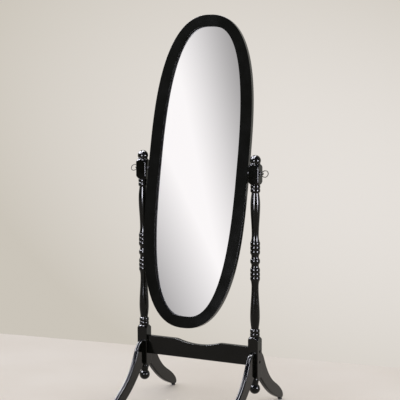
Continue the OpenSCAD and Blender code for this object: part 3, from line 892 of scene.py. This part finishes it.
def soft_lamp(name, place, aim, size, brightness, colour, across, matte):
    """A soft lamp of a given surface brightness, seen by matte surfaces or by glossy ones.

    Its width runs square to the direction named by across.
    """
    width, height = size
    data = bpy.data.lights.new(name, "AREA")
    data.shape, data.size, data.size_y = "RECTANGLE", width, height
    data.energy, data.color = brightness * math.pi * width * height, colour
    lamp = bpy.data.objects.new(name, data)
    bpy.context.scene.collection.objects.link(lamp)
    back = (Vector(place) - Vector(aim)).normalized()
    side = Vector(across).cross(back).normalized()
    turn = Matrix((side, back.cross(side), back)).transposed()
    lamp.matrix_world = Matrix.Translation(place) @ turn.to_4x4()
    lamp.visible_camera = False
    lamp.visible_diffuse = matte
    lamp.visible_glossy = not matte
    return lamp


def make_room():
    """Plain pale walls for the camera, and a dim room with a bright window for the mirror."""
    world = bpy.data.worlds.new("studio")
    bpy.context.scene.world = world
    world.use_nodes = True
    world.node_tree.nodes.clear()
    base = Wire(world.node_tree)
    way = base.node("TexCoord", output="Generated")
    x, y, z = (base.node("SeparateXYZ", {}, {0: way}, output=name) for name in "XYZ")
    azimuth = base.maths("ARCTAN2", x, 0.0 - y) * (180 / math.pi)
    height = base.maths("ARCSINE", z) * (180 / math.pi)
    # The window has two soft edges, slanted as the mirror shows them, about its middle
    beside, above = azimuth + 27.75, height - 16.37
    right = (beside * 20.87 + above * 8.89 + 178.7).rise(143, 249, 1.08, 0.28)
    left = (beside * 19.88 + above * 14.36 + 147.5).ramp(17, 105, 0.32, 1.06)
    window = base.maths("MINIMUM", right, left) * height.rise(17, 24, 1.0, 0.9)
    aside = base.maths("ABSOLUTE", azimuth + 26).rise(9, 24)
    front = window * (1.0 - aside) + aside * 0.5
    front = front * height.rise(-3, 7, 0.08, 1.0) * height.rise(30, 60, 1.0, 0.4)
    walls = y.rise(-0.15, 0.45)
    light = front * (1.0 - walls) + walls * x.rise(-0.6, 0.5, 0.50, 0.70)
    sky = height.rise(26, 40).tint((1.0, 0.975, 0.98, 1), (0.45, 0.50, 1.1, 1))
    tone = walls.tint(sky, (1.0, 0.98, 0.90, 1))
    unseen = base.node("Background", {}, {"Color": light.tint((0, 0, 0, 1), tone),
                                          "Strength": 1.0})
    # The plain wall that the camera sees, with a painted pool of light brightest a little right of
    # the mirror
    across = base.dot(way, (0.892, 0.452, 0.0))
    up = base.dot(way, (-0.058, 0.114, 0.992))
    fall = across * across * 10.0 + across * up * 10.4 + up * up * 20.4
    glow = across * 2.32 + up * 1.52 + 0.80 - fall
    wall = base.maths("MAXIMUM", glow, 0.2).tint((0.545, 0.505, 0.432, 1),
                                                 (0.80, 0.762, 0.724, 1))
    seen = base.node("Background", {}, {"Color": wall, "Strength": 1.0})
    camera_ray = base.node("LightPath", output="Is Camera Ray")
    both = base.node("MixShader", {}, {0: camera_ray, 1: unseen, 2: seen})
    end = base.tree.nodes.new("ShaderNodeOutputWorld")
    base.tree.links.new(both.socket, end.inputs["Surface"])


def make_lamps():
    """One wide panel lights the matte surfaces, and cards draw highlights on the glossy ones."""
    white, lilac = (1, 1, 1), (0.90, 0.90, 1.0)
    soft_lamp("ceiling_panel", (0.4, 0.1, 3.4), (0.4, 0.1, 0), (9.0, 9.0), 1.04, white, BACK,
              matte=True)
    oval, rising_back = (0, 0, 0.86), (0, 0.985, 0.174)
    cards = (("ceiling_card", (-0.5, 0.9, 3.4), (0, 0, 0.9), (1.5, 2.0), 17, white, BACK),
             ("front_card", (-0.06, -3.0, 0.93), oval, (1.0, 0.85), 65, lilac, UP),
             ("front_low", (-0.06, -3.0, 0.37), oval, (1.0, 0.27), 18, lilac, UP),
             ("right_card", (3.1, -0.58, 0.93), oval, (0.95, 0.85), 65, lilac, UP),
             ("right_low", (3.1, -0.58, 0.37), oval, (0.95, 0.27), 18, lilac, UP),
             ("left_panel", (-3.2, 0.4, 2.55), (0, 0, 0.5), (2.8, 1.1), 26, lilac, UP),
             ("high_strip", (-2.3, -1.9, 11.8), (0, 0, 0.2), (4.2, 14.4), 46, lilac, rising_back),
             ("left_strip", (-8.0, -1.9, 9.1), (0, 0, 0.2), (2.3, 12.0), 82, lilac, rising_back))
    # The glass, the board behind it and the floor don't see the cards
    shown = bpy.data.collections.new("lit_by_cards")
    for piece in bpy.context.scene.objects:
        if piece.type == "MESH" and piece.name not in ("mirror_glass", "backing_board", "floor"):
            shown.objects.link(piece)
    for card in cards:
        lamp = soft_lamp(*card, matte=False)
        lamp.light_linking.receiver_collection = shown


make_camera()
make_posts()
make_stretcher()
make_legs()
make_glides()
make_oval_frame()
make_backing_screws()
make_thumb_screws()
make_collars_and_spacers()
make_bolts_and_nuts()
paint_kept_nodes()
make_floor()
make_room()
make_lamps()
bpy.context.scene.view_settings.view_transform = "Standard"

clear_bench()
